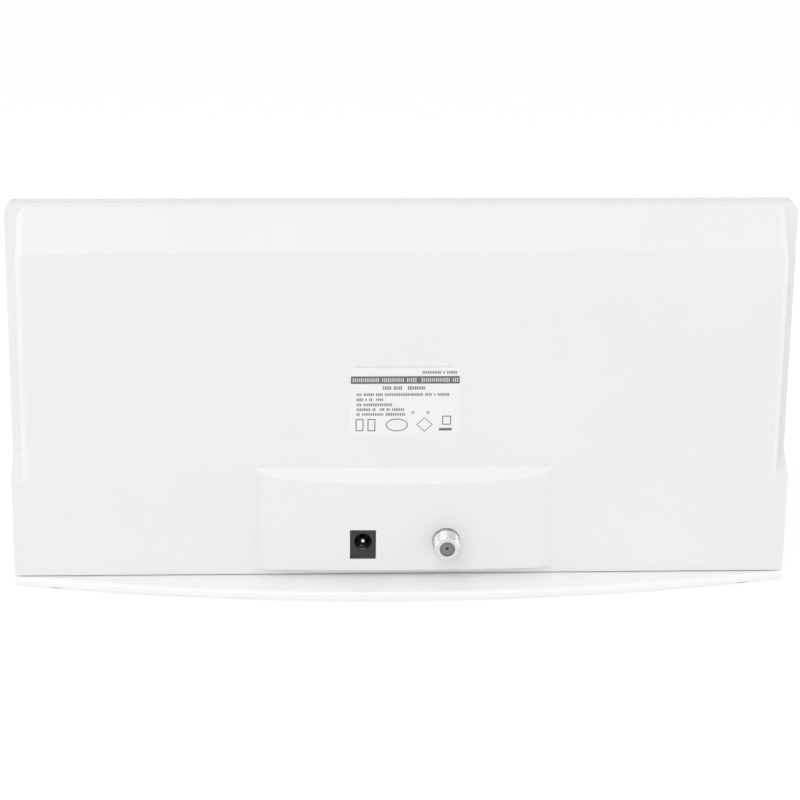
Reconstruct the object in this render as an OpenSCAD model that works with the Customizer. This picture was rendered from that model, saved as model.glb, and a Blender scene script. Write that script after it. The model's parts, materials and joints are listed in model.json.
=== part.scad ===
// Amplified panel antenna for indoor television and radio.
// The connector side looks along -Y, the plain side along +Y, and the feet stand on Z = 0.

/* [Panel] */
// Width of the panel outline
panel_w = 277.5; // [265:0.5:320]
// Height of the panel outline
panel_h = 135; // [130:0.5:160]
// Depth of the front cover, from its face to the parting plane
front_depth = 6; // [5.6:0.1:7]
// Depth of the back cover, from the parting plane to its flat back
back_depth = 13.5; // [13.3:0.1:18]
// Wall of both covers
wall = 2; // [1.8:0.1:2.4]
// Radius of the outline's upper corners
corner_r = 4; // [3:0.5:8]
// Radius of the outline's lower corners
low_corner_r = 1; // [0.6:0.1:2]
// Radius along the front cover's face
front_r = 1.8; // [1:0.1:2.2]

/* [Back cover] */
// Ledge of the flange that shows at each side of the back box
side_ledge = 4; // [2:0.1:5]
// Ledge of the flange that shows above the back box
top_ledge = 1; // [0.5:0.1:2]
// Flange that closes on the front cover
flange_t = 1.6; // [1.2:0.1:2]
// Height of the sloping band along the top
bevel_h = 13.8; // [10:0.1:18]
// Flat strip between the sloping band and the flange
bevel_lip = 0.4; // [0.2:0.1:3]
// Radius of the back box's side edges
edge_r = 2.8; // [2.5:0.1:3.2]
// Radius of the side edges along the sloping band
bevel_edge_r = 4.4; // [3.8:0.1:6]

// Height of the full-width foot of the back cover, at its flat back
skirt_h = 36; // [28:1:44]
// How much higher that foot reaches at the flange
skirt_rise = 7; // [4:0.5:10]
// Radius of the foot's upright edges
skirt_r = 0.8; // [0.5:0.1:1.2]

/* [Connector bulge] */
// Width of the bulge
bulge_w = 107; // [90:1:130]
// Height of the bulge at its inner edge, from the panel's foot
bulge_h = 40.6; // [36:0.1:50]
// How far the bulge stands out in its middle
bulge_d = 3.5; // [3:0.1:5]
// How far the bulge stands out at its ends
bulge_end_d = 1.6; // [1:0.1:2.5]
// Height that the slope along the bulge's top takes
bulge_slope = 5; // [4:0.1:8]
// How far the slope at each end runs in for each millimetre that it rises
bulge_end_lean = 2.5; // [1:0.1:4]
// Height of the bulge's underside above the panel's foot
bulge_low = 2.4; // [1.6:0.1:3]
// How far the bulge, the sockets and the label stand to the right of the middle
shift = 1; // [0:0.1:3]

/* [Connectors] */
// Distance between the two sockets
socket_pitch = 29.8; // [26:0.2:34]
// Width of the power socket's housing
jack_w = 9; // [8.5:0.1:10]
// Height of the power socket's housing
jack_h = 10.8; // [10.5:0.1:12]
// Depth of the power socket's housing
jack_d = 14.2; // [13:0.1:14.4]
// Radius of the power socket's plug hole
jack_bore_r = 3.15; // [2.9:0.05:3.3]
// Depth of the power socket's plug hole
jack_bore_d = 9.5; // [9:0.1:10]
// Radius of the power socket's centre pin
jack_pin_r = 1; // [0.8:0.05:1.25]
// Radius over the threads of the aerial socket
coax_r = 4.7; // [4.5:0.05:4.8]
// Radius of the aerial socket's bore
coax_bore_r = 2.75; // [2.5:0.05:3.2]
// Length of the aerial socket outside the bulge
coax_out = 7.6; // [7:0.1:11]
// Width of the aerial socket's square block
coax_block = 12; // [11:0.1:13]

/* [Electronics] */
// Thickness of the amplifier board
board_t = 1.6; // [1.2:0.1:1.6]
// Width of the amplifier board
board_w = 76; // [72:1:84]
// Depth of the amplifier board
board_d = 13.4; // [12.8:0.1:13.4]
// Thickness of the sheet that the aerial elements are stamped from
sheet_t = 0.5; // [0.4:0.1:0.8]
// Gap between each aerial element's outer end and the ring rib
element_gap = 9; // [4:0.5:16]
// Height of each aerial element at its outer end
element_h = 88; // [80:1:92]
// Height of each aerial element at its inner end
element_inner_h = 34; // [30:1:44]
// Slots cut into each aerial element
element_slots = 6; // [4:1:8]

/* [Base] */
// Thickness of the base plate
base_t = 2.8; // [2.6:0.1:4]
// How far the base reaches out behind and before the panel in its middle
base_reach = 17; // [14:0.5:26]
// Radius along the base plate's upper edge
base_edge_r = 1.4; // [0.8:0.1:1.6]
// Gap between the base plate and the panel
base_gap = 0.4; // [0.3:0.1:0.8]
// How far the feet stand out of the base plate
foot_rise = 0.8; // [0.6:0.1:1.5]
// Radius of a foot
foot_r = 5; // [4:0.5:6]
// Thickness of the steel weight
weight_t = 1; // [0.8:0.1:1.1]
// Distance from each end of the steel weight to the outer screw beside it
weight_gap = 15.5; // [10:0.5:24]
// Depth of the steel weight
weight_d = 28; // [24:0.5:32]

/* [Label] */
// Width of the label
label_w = 39; // [34:0.5:44]
// Height of the label
label_h = 25.4; // [22:0.1:28]
// Thickness of the label
label_t = 0.15; // [0.1:0.05:0.3]
// Height of the label's middle above the panel's foot
label_z = 66.2; // [60:0.1:74]

/* [Hidden] */
$fn = 64;
arc_fn = 720;
clear = 0.15;
seat = 0.05;
over = 1;

// Planes of the panel
front_y = (front_depth + back_depth) / 2;
split_y = front_y - front_depth;
back_y = -front_y;
panel_z = foot_rise + base_t + base_gap;
panel_top = panel_z + panel_h;
floor_z = panel_z + wall;

// The back box inside the outline
box_half = panel_w / 2 - side_ledge;
box_top = panel_top - top_ledge;
bevel_d = back_depth - flange_t - bevel_lip;
bevel_angle = atan2(bevel_d, bevel_h);
skirt_lean = skirt_rise / (split_y - flange_t - back_y);

// The bulge's face is one long arc
bulge_sag = bulge_d - bulge_end_d;
bulge_r = (pow(bulge_w / 2, 2) + pow(bulge_sag, 2)) / (2 * bulge_sag);
bulge_top = panel_z + bulge_h;
function bulge_face(x) = back_y - bulge_d + bulge_r - sqrt(bulge_r * bulge_r - x * x);

// The amplifier board and the two sockets on it
board_lift = 3.5;
board_z = floor_z + board_lift;
board_top = board_z + board_t;
board_back = back_y - 0.2;
board_front = board_back + board_d;
jack_x = shift - socket_pitch / 2;
coax_x = shift + socket_pitch / 2;
socket_rise = 6.5;
socket_z = board_top + socket_rise;
socket_face = bulge_face(socket_pitch / 2);
rail_w = 3.5;
rail_bite = 1.3;
rail_h = board_lift + board_t + 2.4;
rail_in = 1.5;
root_in = 0.2;
ledge_t = 1.2;
stop_x = board_w / 2 - 14;
stop_t = 1.6;
ledge_xs = [-stop_x, 0, stop_x];

// Power socket
jack_face = socket_face;
jack_back = jack_face + jack_d;
jack_tip = 1.6;
tip_h = 0.8;
shank_r = jack_pin_r + 0.2;
shank_out = 0.4;
leaf_w = 2.6;
leaf_t = 0.35;
leaf_in = 1.2;
tag_w = 2.2;
tag_t = 0.6;
tag_down = board_t + 0.6;
tag_y = jack_bore_d - 1.5;

// Aerial socket
coax_mouth = socket_face - coax_out;
coax_wall_y = socket_face + wall + 0.35;
coax_block_d = 9.5;
coax_block_h = socket_rise + coax_r + 1.2;
coax_chamfer = 0.5;
collar_out = 0.4;
collar_r = coax_r + 0.2;
coax_recess = 0.6;
contact_r = 0.8;
contact_bore_r = 0.5;
contact_tail = 2;
coax_leg_r = 0.7;
coax_legs = [-4, 4];
leg_down = board_t + 0.4;

// Ring rib of the front cover, which stands inside the back cover
ring_t = 1.4;
ring_reach = 2.5;
ring_out = wall + clear;
snap_w = 9;
snap_bite = 0.45;
snap_play = 0.2;
snap_root = 0.4;
snap_from = 1.3;
snap_peak = 0.8;
snap_to = 0.3;
snap_side = 1.5;
snap_in_x = board_w / 2 - rail_bite + rail_w + snap_side + snap_w / 2;
snap_side_z = panel_z + 0.55 * panel_h;

// Aerial elements
element_in_x = 14;
element_w = box_half - ring_out - ring_t - element_gap - element_in_x;
element_z = panel_z + 0.57 * panel_h;
element_y = split_y - 0.5;
post_r = 3.2;
post_pilot_r = 1.1;
post_side = 11;
element_post_xs = [element_in_x + post_side, element_in_x + element_w - post_side];
element_hole_r = 1.5;
slot_w = 3;
slot_share = 0.72;
slot_first = 0.17;
slot_span = 0.72;

// Element screws
element_screw_r = 1.05;
element_head_r = 2.6;
element_head_h = 1.5;
element_screw_l = front_y - wall - element_y - 2 * clear;
recess_r = 1.1;

// Balun, feed wires and the parts on the amplifier board
balun_w = 8;
balun_d = 5;
balun_h = 6;
balun_y = -4;
balun_hole_r = 1;
balun_holes = [-balun_w / 4, balun_w / 4];
wire_r = 0.5;
feed_z = element_z - element_inner_h / 2 + 4;
feed_x = element_in_x + 4;
feed_y = 0.5;
balun_top = board_top + balun_h;
turn_z = balun_top + 9;
can_side = 2;
can_end = 0.8;
can_low_x = coax_x + coax_block / 2 + can_side;
can_high_x = board_w / 2 - rail_bite - can_end;
can_w = can_high_x - can_low_x;
can_d = 9.4;
can_h = 7;
can_t = 0.4;
can_x = (can_low_x + can_high_x) / 2;
can_y = -4.4;
can_holes = [-can_w / 4, 0, can_w / 4];
cap_r = 2.6;
cap_h = 7.5;
cap_end = 11.5;
cap_x = cap_end - board_w / 2;
cap_y = -5;
cap_lead_r = 0.3;
cap_leads = [-1, 1];

// Power lamp and its light pipe
lamp_end = 6.5;
lamp_x = lamp_end - board_w / 2;
lamp_z = board_top + 2.2;
lamp_r = 1.5;
lamp_rim_r = 1.9;
lamp_rim = 1;
lamp_len = 4;
lamp_lead = 0.5;
lamp_leads = [-0.8, 0.8];
lamp_back = 3;
pipe_r = 1.5;
pipe_rim_r = 2.4;
pipe_rim = 0.9;
lamp_gap = 0.4;

// Label
label_r = 1.5;

// Base
base_half = panel_w / 2;
base_mid_r = (pow(base_half, 2) + pow(base_reach, 2)) / (2 * base_reach);
base_out = front_y + base_reach;
base_top = foot_rise + base_t;
pad_r = 4.4;
weight_pocket = weight_t + 0.2;
weight_r = 4;
foot_set = 0.6;
foot_side = 16;
foot_x = base_half - foot_side;
foot_y = front_y - 2.5;
screw_r = 1.5;
screw_head_r = 2.8;
screw_head_h = 1;
screw_in = 9;
screw_boss_r = 3.6;
screw_boss_h = 11;
screw_y = split_y - ring_reach - clear - screw_boss_r;
foot_to_screw = 22;
screw_in_x = snap_in_x + snap_w / 2 + snap_side + screw_boss_r;
screw_out_x = foot_x - foot_to_screw;
screw_xs = [-screw_out_x, -screw_in_x, screw_in_x, screw_out_x];
snap_out_x = (screw_in_x + screw_out_x) / 2;
snap_xs = [-snap_out_x, -snap_in_x, snap_in_x, snap_out_x];
weight_w = 2 * (screw_out_x - weight_gap);

// Turns a drawing in X and Z into a slab along Y, from one depth to another.
module slab_y(from, to) {
    translate([0, to, 0]) rotate([90, 0, 0]) linear_extrude(to - from) children();
}

// Turns a drawing in Y and Z into a bar along X, centred on X = 0.
module bar_x(width) {
    rotate([90, 0, 90]) translate([0, 0, -width / 2]) linear_extrude(width) children();
}

// A round rod along Y.
module rod_y(r, from, to) {
    translate([0, to, 0]) rotate([90, 0, 0]) cylinder(r = r, h = to - from);
}

// A rectangle with four round corners, given by its left, right, low and high sides.
module round_rect(left, right, low, high, r) {
    translate([left + r, low]) square([right - left - 2 * r, high - low]);
    translate([left, low + r]) square([right - left, high - low - 2 * r]);
    for (x = [left + r, right - r], y = [low + r, high - r]) translate([x, y]) circle(r = r);
}

// The same with one radius for the two low corners and another for the two high ones.
module upright_rect(left, right, low, high, low_r, high_r) {
    middle = (low + high) / 2;
    low_round_rect(left, right, low, middle, low_r);
    translate([0, low + high]) mirror([0, 1]) low_round_rect(left, right, low, middle, high_r);
}

// A rectangle whose two low corners are round.
module low_round_rect(left, right, low, high, r) {
    translate([left + r, low]) square([right - left - 2 * r, high - low]);
    translate([left, low + r]) square([right - left, high - low - r]);
    for (x = [left + r, right - r]) translate([x, low + r]) circle(r = r);
}

// The panel's outline, shrunk by inset.
module outline(inset) {
    half = panel_w / 2 - inset;
    upright_rect(
        -half, half, panel_z + inset, panel_top - inset,
        max(low_corner_r - inset, 0.5), max(corner_r - inset, 0.5)
    );
}

// The tray of the front cover: its outline with a rounded edge all round the face.
module tray(inset) {
    r = max(front_r - inset, 0.3);
    half = panel_w / 2 - inset;
    face = front_y - inset;
    intersection() {
        slab_y(split_y - (inset > 0 ? over : 0), face) outline(inset);
        translate([0, 0, panel_z - over]) linear_extrude(panel_h + 2 * over)
            mirror([0, 1]) low_round_rect(-half, half, -face, over - split_y, r);
        bar_x(panel_w + 2) rotate(90)
            low_round_rect(panel_z + inset, panel_top - inset, -face, over - split_y, r);
    }
}

// The box of the back cover, with its full-width foot.
module back_box(inset) {
    upper_box(inset);
    skirt(inset);
}

// The foot of the back cover: as wide as the panel, flush with the flat back, with sloping shoulders.
module skirt(inset) {
    half = panel_w / 2 - inset;
    low = panel_z + inset;
    back = back_y + inset;
    reach = split_y + (inset > 0 ? over : 0);
    shoulder = panel_z + skirt_h - inset * sqrt(1 + skirt_lean * skirt_lean);
    intersection() {
        slab_y(back, reach) outline(inset);
        translate([0, 0, low - over]) linear_extrude(panel_h)
            low_round_rect(-half, half, back, reach + over, max(skirt_r - inset, 0.2));
        bar_x(panel_w + 2 * over) polygon([
            [back, low - over], [reach, low - over],
            [reach, shoulder + (reach - back_y) * skirt_lean],
            [back, shoulder + (back - back_y) * skirt_lean]
        ]);
    }
}

// The main box: flat back, sloping band along the top and rounded side edges.
module upper_box(inset) {
    half = box_half - inset;
    r = max(edge_r - inset, 0.2);
    bevel_r = bevel_edge_r - inset;
    low = panel_z + inset;
    high = box_top - inset;
    back = back_y + inset;
    reach = split_y + (inset > 0 ? over : 0);
    long = 2 * panel_h;
    intersection() {
        slab_y(back, reach) upright_rect(
            -half, half, low, high, max(low_corner_r - inset, 0.5), max(corner_r - inset, 0.5)
        );
        translate([0, 0, low - over]) linear_extrude(panel_h + 2 * over)
            low_round_rect(-half, half, back, reach + over, r);
        translate([0, back_y, box_top - bevel_h]) rotate([-bevel_angle, 0, 0])
            translate([0, inset, -long / 2]) linear_extrude(long)
                low_round_rect(-half, half, 0, long, bevel_r);
    }
}

// The bulge that carries the sockets: a long arc with sloping top and ends.
module bulge(inset) {
    lean = bulge_slope / bulge_d;
    half = bulge_w / 2 - inset * sqrt(1 + bulge_end_lean * bulge_end_lean);
    low = panel_z + bulge_low + inset;
    high = bulge_top - inset * sqrt(1 + lean * lean);
    root = back_y + wall;
    deep = bulge_d + over;
    translate([shift, 0, 0]) intersection() {
        translate([0, 0, low]) linear_extrude(high - low + lean * wall + over) intersection() {
            polygon([
                [-half - bulge_end_lean * wall, root], [half + bulge_end_lean * wall, root],
                [half - bulge_end_lean * deep, back_y - deep],
                [bulge_end_lean * deep - half, back_y - deep]
            ]);
            translate([0, back_y - bulge_d + bulge_r]) circle(r = bulge_r - inset, $fn = arc_fn);
        }
        bar_x(bulge_w + 2 * over) polygon([
            [root, low], [root, high + lean * wall],
            [back_y - deep, high - lean * deep], [back_y - deep, low]
        ]);
    }
}

// Places its children once for each screw that joins the base to the panel.
module at_screws() {
    for (x = screw_xs) translate([x, screw_y, 0]) children();
}

// Places its children once for each foot.
module at_foot(side, end) {
    translate([side * foot_x, end * foot_y, 0]) children();
}

// Places its children once for each post that carries an aerial element.
module at_posts() {
    for (side = [-1, 1], x = element_post_xs) translate([side * x, 0, element_z]) children();
}

// The snap ridges on the ring rib, or the grooves for them where play is above zero.
module snaps(play) {
    for (x = snap_xs) {
        translate([x, 0, floor_z]) snap(play);
        translate([x, 0, box_top - wall]) rotate([0, 180, 0]) snap(play);
    }
    for (side = [-1, 1])
        translate([side * (box_half - wall), 0, snap_side_z]) rotate([0, -90 * side, 0]) snap(play);
}

// One snap ridge on a wall at Z = 0, pointing into the wall.
module snap(play) {
    root = clear + snap_root - play;
    bar_x(snap_w + 2 * play) polygon([
        [split_y - snap_from - play, root],
        [split_y - snap_peak, -snap_bite - play],
        [split_y - snap_to + play, root]
    ]);
}

module front_cover() {
    color("white") difference() {
        union() {
            difference() {
                tray(0);
                tray(wall);
            }
            ring_rib();
            snaps(0);
            at_posts() rod_y(post_r, element_y + sheet_t, front_y - wall / 2);
            for (x = [-stop_x, stop_x]) translate([x, 0, board_z]) board_stop();
        }
        at_posts() rod_y(post_pilot_r, element_y - over, front_y - wall);
        translate([lamp_x, 0, lamp_z]) rod_y(pipe_r + seat, split_y, front_y + over);
    }
}

// The ring rib of the front cover, trimmed along its top to clear the sloping band.
module ring_rib() {
    difference() {
        union() {
            slab_y(split_y, front_y - wall / 2) ring_outline(0);
            intersection() {
                slab_y(split_y - ring_reach, split_y + wall) ring_outline(0);
                back_box(ring_out);
            }
        }
        slab_y(split_y - ring_reach - over, front_y) ring_outline(ring_t);
    }
}

// The outline of the ring rib, which follows the inside of the back cover.
module ring_outline(inset) {
    side = side_ledge + ring_out + inset;
    round_rect(
        side - panel_w / 2, panel_w / 2 - side,
        panel_z + ring_out + inset, panel_top - top_ledge - ring_out - inset,
        max(corner_r - ring_out - inset, 0.4)
    );
}

// A rib of the front cover that keeps the amplifier board in its rails.
module board_stop() {
    translate([-stop_t / 2, board_front + seat, 0])
        cube([stop_t, front_y - wall / 2 - board_front - seat, board_t + 2]);
}

module back_cover() {
    color("white") difference() {
        union() {
            difference() {
                union() {
                    back_box(0);
                    slab_y(split_y - flange_t, split_y) outline(0);
                    bulge(0);
                }
                back_box(wall);
                bulge(wall);
            }
            at_screws() translate([0, 0, panel_z]) cylinder(r = screw_boss_r, h = screw_boss_h);
            for (side = [-1, 1]) board_rail(side);
            for (x = ledge_xs) translate([x - ledge_t / 2, board_back + rail_in, floor_z - root_in])
                cube([ledge_t, split_y - ring_reach - 2 * clear - board_back - rail_in, board_lift + root_in]);
        }
        snaps(snap_play);
        at_screws() translate([0, 0, panel_z - over]) cylinder(r = screw_r, h = screw_in + 1.5 * over);
        translate([jack_x - jack_w / 2 - clear, back_y - bulge_d - over, board_top - clear])
            cube([jack_w + 2 * clear, bulge_d + wall + 2 * over, jack_h + 2 * clear]);
        translate([coax_x, 0, socket_z])
            rod_y(collar_r + clear, back_y - bulge_d - over, back_y + wall + over);
    }
}

// A grooved rail at one end of the amplifier board.
module board_rail(side) {
    inner = board_w / 2 - rail_bite;
    translate([side * (inner + rail_w / 2), 0, floor_z]) difference() {
        translate([-rail_w / 2, board_back + rail_in, -root_in])
            cube([rail_w, split_y - ring_reach - 2 * clear - board_back - rail_in, rail_h + root_in]);
        translate([-side * rail_w / 2 - (rail_bite + clear), board_back, board_lift])
            cube([2 * (rail_bite + clear), board_d + over, board_t + clear]);
    }
}

module rating_label() {
    middle = panel_z + label_z;
    color("whitesmoke") translate([shift, 0, 0]) slab_y(back_y - label_t, back_y)
        round_rect(-label_w / 2, label_w / 2, middle - label_h / 2, middle + label_h / 2, label_r);
}

// A stamped aerial element for one side: a fan of sheet with slots from its two long edges in turn.
module element(side) {
    half_in = element_inner_h / 2;
    half_out = element_h / 2;
    color("silver") mirror([side > 0 ? 0 : 1, 0, 0]) translate([0, 0, element_z]) difference() {
        slab_y(element_y, element_y + sheet_t) polygon([
            [element_in_x, -half_in], [element_in_x + element_w, -half_out],
            [element_in_x + element_w, half_out], [element_in_x, half_in]
        ]);
        for (i = [0 : element_slots - 1]) {
            share = slot_first + i * slot_span / (element_slots - 1);
            half = half_in + share * (half_out - half_in);
            long = slot_share * 2 * half;
            low = i % 2 == 0 ? half + over - long : -half - over;
            translate([element_in_x + share * element_w, element_y - over, low])
                cube([slot_w, sheet_t + 2 * over, long]);
        }
        for (x = element_post_xs) translate([x, 0, 0])
            rod_y(element_hole_r, element_y - over, element_y + sheet_t + over);
    }
}

module element_screws() {
    color("gainsboro") at_posts() difference() {
        union() {
            rod_y(element_screw_r, element_y, element_y + element_screw_l);
            rod_y(element_head_r, element_y - element_head_h, element_y);
        }
        rod_y(recess_r, element_y - element_head_h - over, element_y - element_head_h / 2, $fn = 6);
    }
}

module amplifier_board() {
    color("darkgreen") difference() {
        translate([-board_w / 2, board_back, board_z]) cube([board_w, board_d, board_t]);
        for (y = [tag_y, jack_d]) translate([jack_x, jack_face + y, board_z - over])
            translate([-tag_w / 2 - seat, -seat, 0])
                cube([tag_w + 2 * seat, tag_t + 2 * seat, board_t + 2 * over]);
        for (x = coax_legs) translate([coax_x + x, coax_wall_y + coax_block_d / 2, board_z - over])
            cylinder(r = coax_leg_r + seat, h = board_t + 2 * over);
        translate([coax_x, coax_wall_y + coax_block_d + contact_tail / 2, board_z - over])
            cylinder(r = contact_r + seat, h = board_t + 2 * over);
        for (x = cap_leads) translate([cap_x + x, cap_y, board_z - over])
            cylinder(r = cap_lead_r + seat, h = board_t + 2 * over);
    }
}

module shield_can() {
    color("silver") translate([can_x, can_y, board_top]) difference() {
        translate([-can_w / 2, -can_d / 2, 0]) cube([can_w, can_d, can_h]);
        translate([can_t - can_w / 2, can_t - can_d / 2, -over])
            cube([can_w - 2 * can_t, can_d - 2 * can_t, can_h + over - can_t]);
        for (x = can_holes) translate([x, 0, can_h - over]) cylinder(r = 1, h = 2 * over);
    }
}

module balun_core() {
    color("dimgray") difference() {
        translate([-balun_w / 2, balun_y - balun_d / 2, board_top]) cube([balun_w, balun_d, balun_h]);
        for (x = balun_holes) translate([x, 0, board_top + balun_h / 2])
            rod_y(balun_hole_r, balun_y - balun_d / 2 - over, balun_y + balun_d / 2 + over);
    }
}

// Two turns of wire through the core's holes, joined across its face.
module balun_winding() {
    loop_y = balun_d / 2 + wire_r;
    z = board_top + balun_h / 2;
    color("chocolate") {
        for (x = balun_holes) translate([x, 0, z]) rod_y(wire_r, balun_y - loop_y, balun_y + loop_y);
        for (y = [-1, 1]) translate([-balun_w / 4, balun_y + y * loop_y, z]) rotate([0, 90, 0])
            cylinder(r = wire_r, h = balun_w / 2);
        for (x = balun_holes, y = [-1, 1]) translate([x, balun_y + y * loop_y, z]) sphere(r = wire_r);
    }
}

// A stiff wire from one aerial element down to the balun, bent square four times.
module feed_wire(side) {
    x = side * feed_x;
    end_x = side * balun_w / 4;
    bends = [
        [x, feed_y, feed_z], [x, feed_y, turn_z],
        [end_x, feed_y, turn_z], [end_x, balun_y, turn_z]
    ];
    color("goldenrod") {
        translate([x, 0, feed_z]) rod_y(wire_r, feed_y, element_y);
        translate([x, feed_y, turn_z]) cylinder(r = wire_r, h = feed_z - turn_z);
        translate([min(x, end_x), feed_y, turn_z]) rotate([0, 90, 0])
            cylinder(r = wire_r, h = abs(x - end_x));
        translate([end_x, 0, turn_z]) rod_y(wire_r, balun_y, feed_y);
        translate([end_x, balun_y, balun_top]) cylinder(r = wire_r, h = turn_z - balun_top);
        for (at = bends) translate(at) sphere(r = wire_r);
    }
}

module filter_capacitor() {
    color("darkslateblue") translate([cap_x, cap_y, board_top]) {
        cylinder(r = cap_r, h = cap_h);
        for (x = cap_leads) translate([x, 0, -board_t - 0.3]) cylinder(r = cap_lead_r, h = board_t + 1);
    }
}

module power_socket_housing() {
    color("#202020") translate([jack_x, jack_face, board_top]) difference() {
        translate([-jack_w / 2, 0, 0]) cube([jack_w, jack_d, jack_h]);
        translate([0, 0, socket_rise]) rod_y(jack_bore_r, -over, jack_bore_d);
        translate([0, 0, socket_rise]) rod_y(shank_r, 0, jack_d + over);
        translate([-leaf_w / 2 - seat, -over, socket_rise - jack_bore_r - leaf_t - seat])
            cube([leaf_w + 2 * seat, jack_bore_d + over, 2]);
        translate([-tag_w / 2 - seat, tag_y - seat, -over])
            cube([tag_w + 2 * seat, tag_t + 2 * seat, socket_rise]);
    }
}

// The centre pin, with its tail turned down through the board behind the housing.
module power_socket_pin() {
    color("silver") translate([jack_x, jack_face, board_top + socket_rise]) {
        rotate([-90, 0, 0]) rotate_extrude() polygon([
            [0, jack_tip - tip_h], [jack_pin_r - tip_h / 2, jack_tip - tip_h], [jack_pin_r, jack_tip],
            [jack_pin_r, jack_bore_d - shank_out], [shank_r, jack_bore_d - shank_out],
            [shank_r, jack_d + tag_t], [0, jack_d + tag_t]
        ]);
        translate([-tag_w / 2, jack_d, -socket_rise - tag_down]) cube([tag_w, tag_t, socket_rise + tag_down]);
    }
}

// The leaf spring that presses on the plug's sleeve, with its solder tag.
module power_socket_leaf() {
    color("silver") translate([jack_x, jack_face, board_top]) {
        translate([-leaf_w / 2, leaf_in, socket_rise - jack_bore_r - leaf_t])
            cube([leaf_w, jack_bore_d - leaf_in, leaf_t]);
        translate([-tag_w / 2, tag_y, -tag_down])
            cube([tag_w, tag_t, tag_down + socket_rise - jack_bore_r - leaf_t / 2]);
    }
}

module aerial_socket_body() {
    color("silver") translate([coax_x, 0, socket_z]) {
        difference() {
            union() {
                rod_y(coax_r, coax_mouth + coax_chamfer, coax_wall_y);
                rod_y(collar_r, socket_face - collar_out, coax_wall_y + over);
                translate([0, coax_mouth + coax_chamfer, 0]) rotate([90, 0, 0])
                    cylinder(r1 = coax_r, r2 = coax_r - coax_chamfer, h = coax_chamfer);
                translate([-coax_block / 2, coax_wall_y, -socket_rise])
                    cube([coax_block, coax_block_d, coax_block_h]);
            }
            rod_y(coax_bore_r, coax_mouth - over, coax_wall_y + coax_block_d - wall);
            rod_y(contact_r + 2 * clear, coax_mouth, coax_wall_y + coax_block_d + over);
        }
        for (x = coax_legs) translate([x, coax_wall_y + coax_block_d / 2, -socket_rise - leg_down])
            cylinder(r = coax_leg_r, h = leg_down + over);
    }
}

module aerial_socket_insulator() {
    color("lightgray") translate([coax_x, 0, socket_z]) difference() {
        rod_y(coax_bore_r - seat, coax_mouth + coax_recess, coax_wall_y + coax_block_d - wall);
        rod_y(contact_bore_r, coax_mouth, coax_mouth + coax_recess + 1.2);
        rod_y(contact_r, coax_mouth + coax_recess + 1.2, coax_wall_y + coax_block_d);
    }
}

// The spring contact for the cable's core, with its tail turned down into the board.
module aerial_socket_contact() {
    tail_y = coax_wall_y + coax_block_d + contact_tail / 2;
    color("goldenrod") translate([coax_x, 0, socket_z]) {
        difference() {
            rod_y(contact_r - seat, coax_mouth + coax_recess + 1.2, tail_y);
            rod_y(contact_bore_r, coax_mouth, coax_wall_y);
        }
        translate([0, tail_y, -socket_rise - leg_down])
            cylinder(r = contact_r - seat, h = socket_rise + leg_down);
    }
}

// The power lamp lies on the board's edge and looks into the light pipe.
module power_lamp() {
    end_y = front_y - wall - pipe_rim - lamp_gap;
    color("lightgreen") translate([lamp_x, 0, lamp_z]) {
        rod_y(lamp_r, end_y - lamp_len, end_y - lamp_r);
        translate([0, end_y - lamp_r, 0]) sphere(r = lamp_r);
        rod_y(lamp_rim_r, end_y - lamp_len, end_y - lamp_len + lamp_rim);
        for (x = lamp_leads) {
            translate([x - lamp_lead / 2, end_y - lamp_len - lamp_back, -lamp_lead / 2])
                cube([lamp_lead, lamp_back + lamp_rim / 2, lamp_lead]);
            translate([x - lamp_lead / 2, end_y - lamp_len - lamp_back, board_top - lamp_z])
                cube([lamp_lead, lamp_lead, lamp_z - board_top]);
        }
    }
}

module light_pipe() {
    color("white", 0.6) translate([lamp_x, 0, lamp_z]) {
        rod_y(pipe_r, front_y - wall - pipe_rim, front_y);
        rod_y(pipe_rim_r, front_y - wall - pipe_rim, front_y - wall);
    }
}

// A disc with a rounded upper edge.
module soft_disc(r, h, edge) {
    rotate_extrude($fn = arc_fn) {
        square([r - edge, h]);
        square([r, h - edge]);
        translate([r - edge, h - edge]) circle(r = edge);
    }
}

// The base plate: where two wide discs cross, with its ends cut by a third.
module base_plate() {
    color("white") translate([0, 0, foot_rise]) {
        difference() {
            union() {
                intersection() {
                    for_each_base_disc(1);
                    for_each_base_disc(-1);
                    soft_disc(base_half, base_t, base_edge_r);
                }
                at_screws() translate([0, 0, base_t - over]) cylinder(r = pad_r, h = over + base_gap);
            }
            weight_shape(weight_pocket, clear, -over);
            at_screws() {
                translate([0, 0, -over]) cylinder(r = screw_r + 2 * seat, h = base_t + 3 * over);
                translate([0, 0, -over]) cylinder(r = screw_head_r + clear, h = over + weight_pocket);
            }
            for (side = [-1, 1], end = [-1, 1]) at_foot(side, end)
                translate([0, 0, -over]) cylinder(r = foot_r + seat, h = foot_set + over);
        }
    }
}

// One of the two wide discs whose crossing gives the base its pointed oval outline.
module for_each_base_disc(end) {
    translate([0, end * (base_mid_r - base_out), 0]) soft_disc(base_mid_r, base_t, base_edge_r);
}

// The weight's outline as a slab that reaches up to the given height.
module weight_shape(high, grow, low) {
    half_w = weight_w / 2 + grow;
    half_d = weight_d / 2 + grow;
    translate([0, 0, low]) linear_extrude(high - low)
        round_rect(-half_w, half_w, -half_d, half_d, weight_r + grow);
}

module base_weight() {
    color("slategray") translate([0, 0, foot_rise + weight_pocket - weight_t]) difference() {
        weight_shape(weight_t, 0, 0);
        at_screws() translate([0, 0, -over]) cylinder(r = screw_head_r + clear, h = weight_t + 2 * over);
    }
}

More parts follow.
